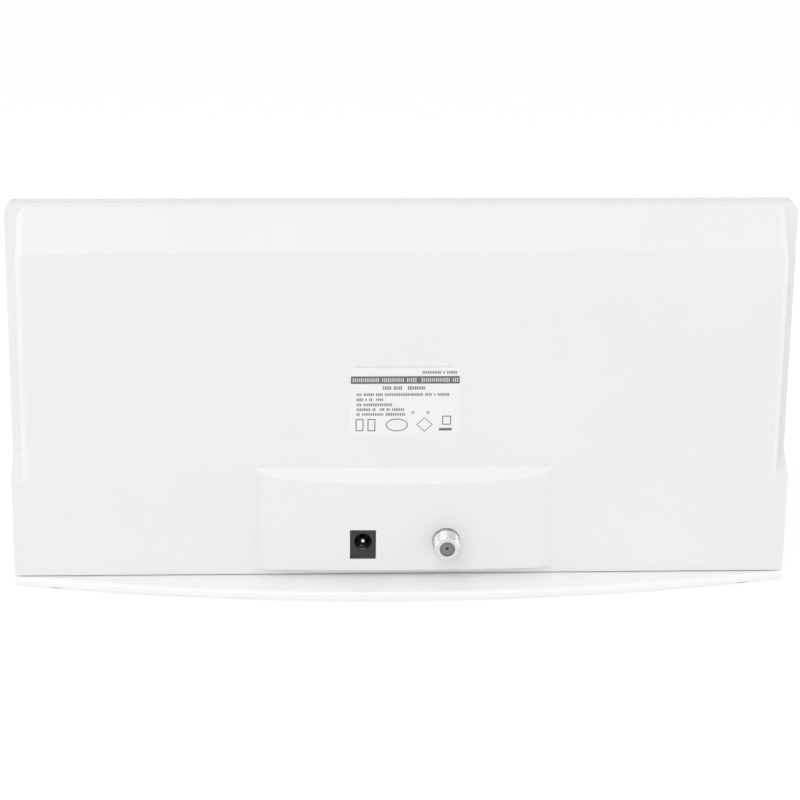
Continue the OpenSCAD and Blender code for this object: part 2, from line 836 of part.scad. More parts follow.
module base_screws() {
    low = foot_rise + weight_pocket - screw_head_h;
    color("gainsboro") translate([0, 0, low]) at_screws() difference() {
        union() {
            cylinder(r = screw_head_r, h = screw_head_h);
            cylinder(r = screw_r - seat, h = panel_z + screw_in - low);
        }
        translate([0, 0, -over]) cylinder(r = recess_r, h = over + screw_head_h / 2, $fn = 6);
    }
}

module foot(side, end) {
    color("lightgray") at_foot(side, end) cylinder(r = foot_r, h = foot_rise + foot_set);
}

front_cover();
back_cover();
rating_label();
element(-1);  // element_left
element(1);  // element_right
element_screws();
amplifier_board();
shield_can();
balun_core();
balun_winding();
feed_wire(-1);  // feed_wire_left
feed_wire(1);  // feed_wire_right
filter_capacitor();
power_socket_housing();
power_socket_pin();
power_socket_leaf();
aerial_socket_body();
aerial_socket_insulator();
aerial_socket_contact();
power_lamp();
light_pipe();
base_plate();
base_weight();
base_screws();
foot(-1, -1);  // foot_back_left
foot(1, -1);  // foot_back_right
foot(-1, 1);  // foot_front_left
foot(1, 1);  // foot_front_right
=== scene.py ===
# Indoor TV antenna seen from its socket side.
# Finishes, aerial thread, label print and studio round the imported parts.
import json
import math

import bmesh
import bpy
from mathutils import Matrix, Vector


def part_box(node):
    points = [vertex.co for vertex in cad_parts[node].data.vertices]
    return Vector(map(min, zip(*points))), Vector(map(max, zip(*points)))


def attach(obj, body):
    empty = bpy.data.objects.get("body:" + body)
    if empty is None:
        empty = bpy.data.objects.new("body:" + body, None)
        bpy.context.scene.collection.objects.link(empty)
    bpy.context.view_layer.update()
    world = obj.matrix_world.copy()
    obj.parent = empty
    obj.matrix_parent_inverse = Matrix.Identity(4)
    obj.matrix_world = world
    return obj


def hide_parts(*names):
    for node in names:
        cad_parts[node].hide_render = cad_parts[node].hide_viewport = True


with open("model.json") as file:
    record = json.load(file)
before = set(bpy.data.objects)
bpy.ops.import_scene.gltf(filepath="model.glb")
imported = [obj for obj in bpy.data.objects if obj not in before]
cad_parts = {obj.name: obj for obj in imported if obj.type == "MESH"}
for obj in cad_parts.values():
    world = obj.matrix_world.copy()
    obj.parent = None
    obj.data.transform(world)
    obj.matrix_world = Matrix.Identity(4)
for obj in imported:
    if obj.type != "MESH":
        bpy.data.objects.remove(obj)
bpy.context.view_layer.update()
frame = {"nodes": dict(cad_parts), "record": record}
nodes = frame["nodes"]
mm = 0.001
print("frame loaded:", len(nodes), "parts")

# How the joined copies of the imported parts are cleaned, rounded and shaded. Angles in degrees.
meshCare = {
    "mergeGap": 0.002 * mm,
    "flatWithin": 0.03,
    "sharpFrom": 32,
    "bevelFrom": 38,
    "bevelSegments": 2,
}


def linkPiece(name, mesh):
    piece = bpy.data.objects.new(name, mesh)
    bpy.context.scene.collection.objects.link(piece)
    return piece


def mergedCopy(nodeName, pieceName):
    # a copy of a part with its loose triangles joined and its flat faces made whole
    mesh = nodes[nodeName].data.copy()
    mesh.name = pieceName
    piece = linkPiece(pieceName, mesh)
    bm = bmesh.new()
    bm.from_mesh(mesh)
    bmesh.ops.remove_doubles(bm, verts=bm.verts, dist=meshCare["mergeGap"])
    flat = math.radians(meshCare["flatWithin"])
    bmesh.ops.dissolve_limit(bm, angle_limit=flat, verts=bm.verts, edges=bm.edges)
    bm.to_mesh(mesh)
    bm.free()
    for name in [a.name for a in mesh.attributes if a.name == "custom_normal"]:
        mesh.attributes.remove(mesh.attributes[name])
    return piece


def smoothByAngle(mesh, degrees=meshCare["sharpFrom"]):
    mesh.polygons.foreach_set("use_smooth", [True] * len(mesh.polygons))
    mesh.set_sharp_from_angle(angle=math.radians(degrees))


def applyModifiers(piece):
    # turns the piece and its modifiers into a plain mesh
    graph = bpy.context.evaluated_depsgraph_get()
    baked = bpy.data.meshes.new_from_object(piece.evaluated_get(graph))
    piece.modifiers.clear()
    piece.data = baked
    return piece


def softenEdges(piece, width):
    bevel = piece.modifiers.new("softEdges", "BEVEL")
    bevel.width = width
    bevel.segments = meshCare["bevelSegments"]
    bevel.limit_method = "ANGLE"
    bevel.angle_limit = math.radians(meshCare["bevelFrom"])
    bevel.use_clamp_overlap = True
    applyModifiers(piece)


def evenShading(piece):
    # smooth rounds beside flat faces that stay flat
    smoothByAngle(piece.data)
    even = piece.modifiers.new("evenNormals", "WEIGHTED_NORMAL")
    even.mode = "FACE_AREA"
    even.keep_sharp = True
    applyModifiers(piece)


def standFor(piece, nodeName, material):
    piece.data.materials.clear()
    piece.data.materials.append(material)
    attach(piece, "root")
    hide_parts(nodeName)


# Materials: each one is a shader with its own surface detail on Object coordinates.
def startMaterial(name, color, roughness, metallic=0.0, specular=0.5):
    material = bpy.data.materials.new(name)
    material.use_nodes = True
    shader = material.node_tree.nodes["Principled BSDF"]
    shader.inputs["Base Color"].default_value = (*color, 1)
    shader.inputs["Roughness"].default_value = roughness
    shader.inputs["Metallic"].default_value = metallic
    shader.inputs["Specular IOR Level"].default_value = specular
    material.diffuse_color = (*color, 1)
    return material, shader


def objectSpot(material, stretch=(1, 1, 1)):
    # object coordinates, squeezed or stretched along the axes for grain that runs one way
    tree = material.node_tree
    coords = tree.nodes.new("ShaderNodeTexCoord")
    mapping = tree.nodes.new("ShaderNodeMapping")
    mapping.inputs["Scale"].default_value = stretch
    tree.links.new(coords.outputs["Object"], mapping.inputs["Vector"])
    return mapping.outputs["Vector"]


def noiseAt(material, spot, size, detail=2.0, rough=0.5):
    # noise whose blotches are about `size` metres across
    tree = material.node_tree
    noise = tree.nodes.new("ShaderNodeTexNoise")
    noise.inputs["Scale"].default_value = 1 / size
    noise.inputs["Detail"].default_value = detail
    noise.inputs["Roughness"].default_value = rough
    tree.links.new(spot, noise.inputs["Vector"])
    return noise.outputs["Fac"]


def rangeOf(material, value, low, high, fromLow=0.3, fromHigh=0.7):
    tree = material.node_tree
    ramp = tree.nodes.new("ShaderNodeMapRange")
    ramp.inputs["From Min"].default_value = fromLow
    ramp.inputs["From Max"].default_value = fromHigh
    ramp.inputs["To Min"].default_value = low
    ramp.inputs["To Max"].default_value = high
    tree.links.new(value, ramp.inputs["Value"])
    return ramp.outputs["Result"]


def tint(material, shader, value, dark, light):
    # the base colour wanders between two close tones
    tree = material.node_tree
    mix = tree.nodes.new("ShaderNodeMix")
    mix.data_type = "RGBA"
    mix.inputs["A"].default_value = (*dark, 1)
    mix.inputs["B"].default_value = (*light, 1)
    tree.links.new(value, mix.inputs["Factor"])
    tree.links.new(mix.outputs["Result"], shader.inputs["Base Color"])


def bumpFrom(material, shader, value, height, strength=1.0):
    tree = material.node_tree
    bump = tree.nodes.new("ShaderNodeBump")
    bump.inputs["Strength"].default_value = strength
    bump.inputs["Distance"].default_value = height
    tree.links.new(value, bump.inputs["Height"])
    tree.links.new(bump.outputs["Normal"], shader.inputs["Normal"])


def grey(value):
    return (value, value, value)


def shadeOf(color, share):
    return tuple(min(1.0, part * share) for part in color)


plasticSurface = {
    "driftSize": 60 * mm,
    "driftShades": (0.985, 1.008),
    "cloudSize": 9 * mm,
    "sheenSpread": 0.02,
    "softRange": (0.15, 0.85),
}


def mouldedPlastic(name, color, roughness, grain, relief, specular=0.5):
    # satin moulded plastic: spark-eroded mould grain, cloudy sheen and a faint drift of tone
    material, shader = startMaterial(name, color, roughness, 0.0, specular)
    spot = objectSpot(material)
    softRange = plasticSurface["softRange"]
    slow = noiseAt(material, spot, plasticSurface["driftSize"], 2.0)
    drift = rangeOf(material, slow, 0.0, 1.0, *softRange)
    tint(material, shader, drift, *(shadeOf(color, share) for share in plasticSurface["driftShades"]))
    cloud = noiseAt(material, spot, plasticSurface["cloudSize"], 3.0)
    spread = plasticSurface["sheenSpread"]
    sheen = rangeOf(material, cloud, roughness - spread, roughness + spread, *softRange)
    material.node_tree.links.new(sheen, shader.inputs["Roughness"])
    bumpFrom(material, shader, noiseAt(material, spot, grain, 3.0, 0.6), relief)
    return material


metalSurface = {
    "streakStretch": 0.04,
    "darkShade": 0.93,
    "smoother": 0.06,
    "rougher": 0.08,
}


def rolledMetal(name, color, roughness, grain, along, relief=0.01 * mm):
    # rolled or drawn metal, its fine grain stretched along one axis
    material, shader = startMaterial(name, color, roughness, 1.0)
    stretch = [1.0, 1.0, 1.0]
    stretch[along] = metalSurface["streakStretch"]
    spot = objectSpot(material, stretch)
    streaks = noiseAt(material, spot, grain, 4.0, 0.65)
    dark = shadeOf(color, metalSurface["darkShade"])
    tint(material, shader, rangeOf(material, streaks, 0.0, 1.0), dark, color)
    low, high = roughness - metalSurface["smoother"], roughness + metalSurface["rougher"]
    material.node_tree.links.new(rangeOf(material, streaks, low, high), shader.inputs["Roughness"])
    bumpFrom(material, shader, streaks, relief)
    return material


# finish of each slot: colour, roughness, grain and its relief
finish = {
    "shell": mouldedPlastic("whiteMoulding", (0.875, 0.875, 0.87), 0.36, 0.35 * mm, 0.006 * mm),
    "base": mouldedPlastic("whiteBase", (0.95, 0.95, 0.945), 0.3, 0.35 * mm, 0.004 * mm),
    "black": mouldedPlastic("blackMoulding", (0.03, 0.03, 0.032), 0.5, 0.25 * mm, 0.012 * mm, 0.4),
    "foot": mouldedPlastic("footRubber", (0.62, 0.62, 0.6), 0.6, 0.5 * mm, 0.03 * mm, 0.3),
    "insulator": mouldedPlastic("greyInsulator", (0.22, 0.22, 0.218), 0.45, 0.2 * mm, 0.008 * mm),
    "capacitor": mouldedPlastic("sleevedCapacitor", (0.03, 0.035, 0.07), 0.32, 0.4 * mm, 0.01 * mm),
    "ferrite": mouldedPlastic("sinteredFerrite", (0.05, 0.05, 0.055), 0.6, 0.15 * mm, 0.02 * mm, 0.35),
    "lamp": mouldedPlastic("tintedLamp", (0.45, 0.75, 0.5), 0.15, 0.5 * mm, 0.002 * mm),
    "clear": mouldedPlastic("milkyLightPipe", (0.85, 0.86, 0.85), 0.2, 0.5 * mm, 0.002 * mm),
    "element": rolledMetal("aluminiumSheet", (0.8, 0.81, 0.82), 0.34, 0.4 * mm, 0),
    "screw": rolledMetal("zincPlate", (0.74, 0.75, 0.77), 0.3, 0.2 * mm, 2),
    "can": rolledMetal("tinnedSheet", (0.78, 0.78, 0.79), 0.28, 0.3 * mm, 0),
    "copper": rolledMetal("enamelledCopper", (0.74, 0.42, 0.24), 0.25, 0.1 * mm, 2),
    "contact": rolledMetal("tinnedBrass", (0.8, 0.78, 0.72), 0.22, 0.15 * mm, 1),
    "weight": rolledMetal("galvanisedSheet", (0.55, 0.56, 0.57), 0.42, 1.5 * mm, 0),
    "nickel": rolledMetal("nickelPlate", (0.76, 0.75, 0.74), 0.22, 0.3 * mm, 1, 0.002 * mm),
}


boardSurface = {
    "mask": (0.03, 0.2, 0.09),
    "deepMask": (0.025, 0.17, 0.08),
    "track": (0.05, 0.3, 0.14),
    "trackPitch": 4 * mm,
    "trackShare": 0.12,
    "trackRelief": 0.035 * mm,
}


def solderMask():
    # green mask over faintly raised copper tracks
    material, shader = startMaterial("greenSolderMask", boardSurface["mask"], 0.35)
    tree = material.node_tree
    spot = objectSpot(material)
    tracks = tree.nodes.new("ShaderNodeTexBrick")
    tracks.inputs["Scale"].default_value = 1 / boardSurface["trackPitch"]
    tracks.inputs["Mortar Size"].default_value = boardSurface["trackShare"]
    tracks.inputs["Color1"].default_value = (*boardSurface["mask"], 1)
    tracks.inputs["Color2"].default_value = (*boardSurface["deepMask"], 1)
    tracks.inputs["Mortar"].default_value = (*boardSurface["track"], 1)
    tree.links.new(spot, tracks.inputs["Vector"])
    tree.links.new(tracks.outputs["Color"], shader.inputs["Base Color"])
    bumpFrom(material, shader, tracks.outputs["Fac"], boardSurface["trackRelief"])
    return material


labelSurface = {
    "film": (0.9, 0.9, 0.895),
    "filmGrain": 0.5 * mm,
    "filmRelief": 0.003 * mm,
    "ink": 0.17,
    "barInk": 0.15,
    # pale grey painted as shade along the label's top edge
    "edgeShadeTone": 0.72,
    "reversedInk": 0.66,
    "inkGrain": 0.3 * mm,
    "inkShades": (0.94, 1.06),
}


def labelFilm():
    material, shader = startMaterial("labelFilm", labelSurface["film"], 0.55)
    grain = noiseAt(material, objectSpot(material), labelSurface["filmGrain"], 3.0, 0.6)
    bumpFrom(material, shader, grain, labelSurface["filmRelief"])
    return material


def labelInk(name, tone):
    material, shader = startMaterial(name, grey(tone), 0.5)
    grain = noiseAt(material, objectSpot(material), labelSurface["inkGrain"], 2.0)
    mottle = rangeOf(material, grain, 0.0, 1.0)
    tint(material, shader, mottle, *(grey(tone * share) for share in labelSurface["inkShades"]))
    return material


finish["board"] = solderMask()
finish["label"] = labelFilm()
inkDark = labelInk("labelInk", labelSurface["ink"])
inkBar = labelInk("labelBarInk", labelSurface["barInk"])
# this pale grey paints the shade of the label's cut top edge
paintedEdgeShade = labelInk("labelEdgeShade", labelSurface["edgeShadeTone"])
inkPaper = labelInk("labelReversedInk", labelSurface["reversedInk"])
slotOf = {part["node"]: part["material_slot"] for part in frame["record"]["subparts"]}
for nodeName, part in nodes.items():
    part.data.materials.clear()
    part.data.materials.append(finish[slotOf[nodeName]])
print("finishes made:", len(finish))


# Covers, power socket and shield can: joined copies with even shading.
# The small mouldings also get their edges broken. Each row has the copy's name and the break.
edgeBreak = {
    "front_cover": ("frontCover", 0),
    "back_cover": ("backCover", 0),
    "power_socket_housing": ("powerSocketHousing", 0.1 * mm),
    "shield_can": ("shieldCan", 0.05 * mm),
}
for nodeName, (pieceName, width) in edgeBreak.items():
    piece = mergedCopy(nodeName, pieceName)
    if width:
        softenEdges(piece, width)
    evenShading(piece)
    standFor(piece, nodeName, finish[slotOf[nodeName]])
print("mouldings shaded")


# Base plate: its packed rim has coarse facets, so the same form is drawn afresh
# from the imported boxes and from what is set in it.
basePlate = {
    "edgeRound": 1.4 * mm,
    "edgeBreak": 0.15 * mm,
    "roundSteps": 8,
    "longSteps": 90,
    "endSteps": 8,
    "plateThickness": 2.8 * mm,
    "padRadius": 4.4 * mm,
    "screwBore": 1.6 * mm,
    "screwApart": 5 * mm,
    "headBore": 2.95 * mm,
    "pocketRound": 4.15 * mm,
    "pocketPlay": 0.15 * mm,
    "cornerSteps": 8,
    "footPlay": 0.05 * mm,
    "circleSteps": 32,
}


def ringPoints(x, y, radius, steps, start=0.0, sweep=2 * math.pi):
    turns = [start + sweep * i / steps for i in range(steps)]
    return [(x + radius * math.cos(turn), y + radius * math.sin(turn)) for turn in turns]


def roundedOutline(low, high, play, radius):
    corners = [(high.x, high.y, 1, 1), (low.x, high.y, -1, 1),
               (low.x, low.y, -1, -1), (high.x, low.y, 1, -1)]
    points = []
    for quarter, (x, y, sideX, sideY) in enumerate(corners):
        middle = (x + sideX * (play - radius), y + sideY * (play - radius))
        points += ringPoints(*middle, radius, basePlate["cornerSteps"], quarter * math.pi / 2, math.pi / 2)
        points.append(ringPoints(*middle, radius, 1, (quarter + 1) * math.pi / 2)[0])
    return points


def stackRings(bm, levels):
    # a closed form over outlines of equal count, given as (z, points) from the bottom up
    rings = [[bm.verts.new((x, y, z)) for x, y in points] for z, points in levels]
    for lower, upper in zip(rings, rings[1:]):
        for i in range(len(lower)):
            j = (i + 1) % len(lower)
            bm.faces.new((lower[i], lower[j], upper[j], upper[i]))
    bm.faces.new(list(reversed(rings[0])))
    bm.faces.new(rings[-1])


def meshPiece(name, stacks):
    bm = bmesh.new()
    for levels in stacks:
        stackRings(bm, levels)
    mesh = bpy.data.meshes.new(name)
    bm.to_mesh(mesh)
    bm.free()
    return linkPiece(name, mesh)


def combine(piece, other, operation):
    joint = piece.modifiers.new(operation.lower(), "BOOLEAN")
    joint.operation = operation
    joint.solver = "EXACT"
    joint.object = other
    applyModifiers(piece)
    bpy.data.objects.remove(other)


def clusterMiddles(values, gap):
    # the middle of each group of values that stands clear of the next
    groups = []
    for value in sorted(values):
        if groups and value - groups[-1][-1] < gap:
            groups[-1].append(value)
        else:
            groups.append([value])
    return [(group[0] + group[-1]) / 2 for group in groups]


def baseOutline(inset):
    # two long arcs crossed by the round ends, each drawn in by the inset
    low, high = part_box("base_plate")
    reach = high.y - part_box("front_cover")[1].y
    longRadius = (high.x ** 2 + reach ** 2) / (2 * reach)
    centre = longRadius - high.y
    endRadius, arcRadius = high.x - inset, longRadius - inset
    cornerY = (endRadius ** 2 - arcRadius ** 2 + centre ** 2) / (2 * centre)
    cornerX = math.sqrt(endRadius ** 2 - cornerY ** 2)
    endTurn = math.atan2(cornerY, cornerX)
    longTurn = math.atan2(centre - cornerY, cornerX)
    points = ringPoints(0, 0, endRadius, basePlate["endSteps"], endTurn, -2 * endTurn)
    points += ringPoints(0, -centre, arcRadius, basePlate["longSteps"], longTurn, math.pi - 2 * longTurn)
    return points + [(-x, -y) for x, y in points]


def drawBasePlate():
    floor, padTop = (corner.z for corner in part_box("base_plate"))
    top = floor + basePlate["plateThickness"]
    rounding, steps = basePlate["edgeRound"], basePlate["roundSteps"]
    levels = [(floor, baseOutline(0))]
    for step in range(steps + 1):
        turn = math.pi / 2 * step / steps
        drop, inset = rounding * (1 - math.sin(turn)), rounding * (1 - math.cos(turn))
        levels.append((top - drop, baseOutline(inset)))
    plate = meshPiece("basePlate", [levels])

    def disc(x, y, radius, low, high):
        points = ringPoints(x, y, radius, basePlate["circleSteps"])
        return [(low, points), (high, points)]

    screwMesh = nodes["base_screws"].data
    screwY = sum(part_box("base_screws")[i].y for i in (0, 1)) / 2
    screwXs = clusterMiddles([vertex.co.x for vertex in screwMesh.vertices], basePlate["screwApart"])
    weightLow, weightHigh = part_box("base_weight")
    below = floor - mm
    pads = [disc(x, screwY, basePlate["padRadius"], top - mm, padTop) for x in screwXs]
    combine(plate, meshPiece("pads", pads), "UNION")
    pocket = roundedOutline(weightLow, weightHigh, basePlate["pocketPlay"], basePlate["pocketRound"])
    bores = [[(below, pocket), (weightHigh.z, pocket)]]
    combine(plate, meshPiece("pocket", bores), "DIFFERENCE")
    bores = [disc(x, screwY, basePlate["screwBore"], below, padTop + mm) for x in screwXs]
    combine(plate, meshPiece("bores", bores), "DIFFERENCE")
    bores = [disc(x, screwY, basePlate["headBore"], below, weightHigh.z) for x in screwXs]
    for nodeName in (name for name in nodes if name.startswith("foot_")):
        low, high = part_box(nodeName)
        seatRadius = (high.x - low.x) / 2 + basePlate["footPlay"]
        bores.append(disc((low.x + high.x) / 2, (low.y + high.y) / 2, seatRadius, below, high.z))
    combine(plate, meshPiece("seats", bores), "DIFFERENCE")
    return plate


plate = drawBasePlate()
softenEdges(plate, basePlate["edgeBreak"])
evenShading(plate)
standFor(plate, "base_plate", finish["base"])
print("base plate drawn:", len(plate.data.polygons), "faces")


# Small helpers for building Geometry Nodes trees.
def startTree(name, sockets):
    tree = bpy.data.node_groups.new(name, "GeometryNodeTree")
    tree.interface.new_socket("Geometry", in_out="INPUT", socket_type="NodeSocketGeometry")
    for label, kind, value in sockets:
        tree.interface.new_socket(label, in_out="INPUT", socket_type=kind).default_value = value
    tree.interface.new_socket("Geometry", in_out="OUTPUT", socket_type="NodeSocketGeometry")
    return tree, tree.nodes.new("NodeGroupInput"), tree.nodes.new("NodeGroupOutput")


def addNode(tree, kind, **inputs):
    node = tree.nodes.new(kind)
    for label, value in inputs.items():
        socket = node.inputs[label.replace("_", " ")]
        if isinstance(value, bpy.types.NodeSocket):
            tree.links.new(value, socket)
        else:
            socket.default_value = value
    return node


def endTree(tree, geometry, output, material):
    realize = addNode(tree, "GeometryNodeRealizeInstances", Geometry=geometry)
    paint = addNode(tree, "GeometryNodeSetMaterial", Geometry=realize.outputs["Geometry"])
    paint.inputs["Material"].default_value = material
    tree.links.new(paint.outputs["Geometry"], output.inputs["Geometry"])


def runTree(piece, tree, values):
    modifier = piece.modifiers.new(tree.name, "NODES")
    modifier.node_group = tree
    for item in tree.interface.items_tree:
        if item.item_type == "SOCKET" and item.in_out == "INPUT" and item.name in values:
            modifier[item.identifier] = values[item.name]
    applyModifiers(piece)


# Aerial socket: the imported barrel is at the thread's crest, so its wall is drawn in
# to the root and the turns are wound on it.
aerialThread = {
    "pitch": 25.4 / 32 * mm,
    "depth": 0.42 * mm,
    "crestRound": 0.26 * mm,
    "pointsPerTurn": 40,
    "ridgeSides": 6,
    "wallWithin": 0.05 * mm,
    "sharpFrom": 70,
}
mountAt = {mount["name"]: mount for mount in frame["record"]["mounts"]}
barrel = mountAt["aerial_socket"]
barrelMiddle = Vector(barrel["pos_m"])
crestRadius = barrel["dims"]["r_mm"] * mm
threadLength = barrel["dims"]["length_mm"] * mm


def helixTree(material):
    # a thread: a round-topped ridge swept along a helix that runs towards -Y
    tree, entry, output = startTree("threadTurns", [
        ("Turns", "NodeSocketFloat", 8.0),
        ("Radius", "NodeSocketFloat", 4 * mm),
        ("Length", "NodeSocketFloat", 6 * mm),
        ("Ridge", "NodeSocketFloat", 0.3 * mm),
        ("Points", "NodeSocketInt", 40),
        ("Sides", "NodeSocketInt", 6),
        ("Start", "NodeSocketVector", (0, 0, 0)),
    ])
    helix = addNode(tree, "GeometryNodeCurveSpiral",
                    Resolution=entry.outputs["Points"], Rotations=entry.outputs["Turns"],
                    Start_Radius=entry.outputs["Radius"], End_Radius=entry.outputs["Radius"],
                    Height=entry.outputs["Length"])
    upright = addNode(tree, "GeometryNodeSetCurveNormal", Curve=helix.outputs["Curve"])
    upright.mode = "Z_UP"
    ridge = addNode(tree, "GeometryNodeCurvePrimitiveCircle",
                    Resolution=entry.outputs["Sides"], Radius=entry.outputs["Ridge"])
    swept = addNode(tree, "GeometryNodeCurveToMesh",
                    Curve=upright.outputs["Curve"], Profile_Curve=ridge.outputs["Curve"])
    swept.inputs["Fill Caps"].default_value = True
    placed = addNode(tree, "GeometryNodeTransform", Geometry=swept.outputs["Mesh"],
                     Translation=entry.outputs["Start"], Rotation=(math.radians(90), 0, 0))
    endTree(tree, placed.outputs["Geometry"], output, material)
    return tree


socketBody = mergedCopy("aerial_socket_body", "aerialSocketBody")
within = aerialThread["wallWithin"]
for vertex in socketBody.data.vertices:
    out = Vector((vertex.co.x - barrelMiddle.x, 0, vertex.co.z - barrelMiddle.z))
    alongBarrel = abs(vertex.co.y - barrelMiddle.y)
    if abs(out.length - crestRadius) < within and alongBarrel < threadLength / 2 + within:
        vertex.co -= out.normalized() * aerialThread["depth"]
smoothByAngle(socketBody.data)
standFor(socketBody, "aerial_socket_body", finish["nickel"])

wound = threadLength - 2 * aerialThread["crestRound"]
threadPiece = linkPiece("aerialThread", bpy.data.meshes.new("aerialThread"))
runTree(threadPiece, helixTree(finish["nickel"]), {
    "Turns": wound / aerialThread["pitch"],
    "Radius": crestRadius - aerialThread["crestRound"],
    "Length": wound,
    "Ridge": aerialThread["crestRound"],
    "Points": aerialThread["pointsPerTurn"],
    "Sides": aerialThread["ridgeSides"],
    "Start": (barrelMiddle.x, barrelMiddle.y + wound / 2, barrelMiddle.z),
})
smoothByAngle(threadPiece.data, aerialThread["sharpFrom"])
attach(threadPiece, "root")
print("aerial thread wound:", len(threadPiece.data.polygons), "faces")


# Label print: plain bars, frames and rows of blank type blocks, and a pale strip of painted shade along
# the top edge, laid on the label's face.
# Places are millimetres right and down from its top left corner.
labelPrint = {
    "inkHeight": 0.012 * mm,
    "header": (0.05, 38.4, 3.75, 6.55),  # left, right, top, bottom
    "headerRows": [(0.9, 37.6, 5.15, 1.65)],  # left, right, middle, height
    "headerPitch": 0.72,
    "headerWidth": 0.42,
    "headerGapShare": 0.1,
    "rows": [  # left, right, middle, height
        (25.4, 37.2, 2.35, 1.15),
        (11.6, 26.0, 8.15, 1.5),
        (2.3, 34.6, 10.6, 1.15),
        (2.3, 11.2, 12.5, 1.15),
        (2.3, 14.4, 14.4, 1.15),
        (2.3, 18.6, 16.2, 1.15),
        (2.3, 19.0, 18.0, 1.15),
    ],
    "blockPitch": 0.62,
    "blockWidth": 0.4,
    "blockGapShare": 0.14,
    "shortestBlock": 0.72,
    "frames": [(1.8, 4.6, 19.7, 24.3), (6.0, 8.8, 19.7, 24.3), (32.4, 35.6, 18.6, 22.0)],
    "bars": [(31.3, 35.9, 23.2, 24.2)],
    "rings": [  # middle, half sizes, sides, line
        (16.4, 22.0, 3.9, 2.4, 32, 0.36),
        (26.2, 21.9, 2.9, 2.7, 4, 0.36),
        (22.0, 17.3, 0.55, 0.55, 16, 0.252),
        (27.4, 17.3, 0.55, 0.55, 16, 0.252),
    ],
    # a strip of painted shade along the label's top edge: left, right, top, bottom
    "topEdgeShade": (1.2, 36.0, 0.12, 0.5),
    "frameLine": 0.36,
    "seed": 7,
}
labelLow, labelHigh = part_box("rating_label")
labelFace = labelLow.y


def onLabel(x, down):
    return labelLow.x + x * mm, labelHigh.z - down * mm


def inkSlab(bm, left, right, top, bottom):
    # a thin printed bar standing on the label's face
    x0, z1 = onLabel(left, top)
    x1, z0 = onLabel(right, bottom)
    made = bmesh.ops.create_cube(bm, size=1)
    depth = labelPrint["inkHeight"]
    for vertex in made["verts"]:
        vertex.co.x = x0 if vertex.co.x < 0 else x1
        vertex.co.z = z0 if vertex.co.z < 0 else z1
        vertex.co.y = labelFace - depth if vertex.co.y < 0 else labelFace + depth


def inkPiece(name, draw, material):
    bm = bmesh.new()
    draw(bm)
    mesh = bpy.data.meshes.new(name)
    bm.to_mesh(mesh)
    bm.free()
    piece = linkPiece(name, mesh)
    mesh.materials.append(material)
    return piece


def drawHeader(bm):
    inkSlab(bm, *labelPrint["header"])


def inkRing(bm, x, down, halfWidth, halfHeight, sides, line):
    # a flat outline: an oval, or a lozenge where it has four sides
    def loop(shrink, y):
        verts = []
        for i in range(sides):
            turn = 2 * math.pi * i / sides
            side, rise = (halfWidth - shrink) * math.cos(turn), (halfHeight - shrink) * math.sin(turn)
            across, z = onLabel(x + side, down - rise)
            verts.append(bm.verts.new((across, y, z)))
        return verts

    depth = labelPrint["inkHeight"]
    outer, inner = [[loop(shrink, labelFace + face * depth) for face in (-1, 1)] for shrink in (0, line)]
    around = [outer[0], inner[0], inner[1], outer[1], outer[0]]
    for i in range(sides):
        j = (i + 1) % sides
        for a, b in zip(around, around[1:]):
            bm.faces.new((a[i], a[j], b[j], b[i]))


def drawFrames(bm):
    line = labelPrint["frameLine"]
    for left, right, top, bottom in labelPrint["frames"]:
        inkSlab(bm, left, right, top, top + line)
        inkSlab(bm, left, right, bottom - line, bottom)
        inkSlab(bm, left, left + line, top + line, bottom - line)
        inkSlab(bm, right - line, right, top + line, bottom - line)
    for bar in labelPrint["bars"]:
        inkSlab(bm, *bar)
    for ring in labelPrint["rings"]:
        inkRing(bm, *ring)


# painted shade: a pale grey strip along the label's top edge, standing in for the shade of its cut edge
def drawTopEdgeShade(bm):
    inkSlab(bm, *labelPrint["topEdgeShade"])


def rowLines(name, rows, proud):
    # each row of type is one edge of this mesh, with the height of its blocks kept on its points
    mesh = bpy.data.meshes.new(name)
    points, edges, heights = [], [], []
    for left, right, down, high in rows:
        x0, z = onLabel(left, down)
        x1, z = onLabel(right, down)
        edges.append((len(points), len(points) + 1))
        points += [(x0, labelFace - proud, z), (x1, labelFace - proud, z)]
        heights += [high * mm, high * mm]
    mesh.from_pydata(points, edges, [])
    mesh.attributes.new("blockHeight", "FLOAT", "POINT").data.foreach_set("value", heights)
    return linkPiece(name, mesh)


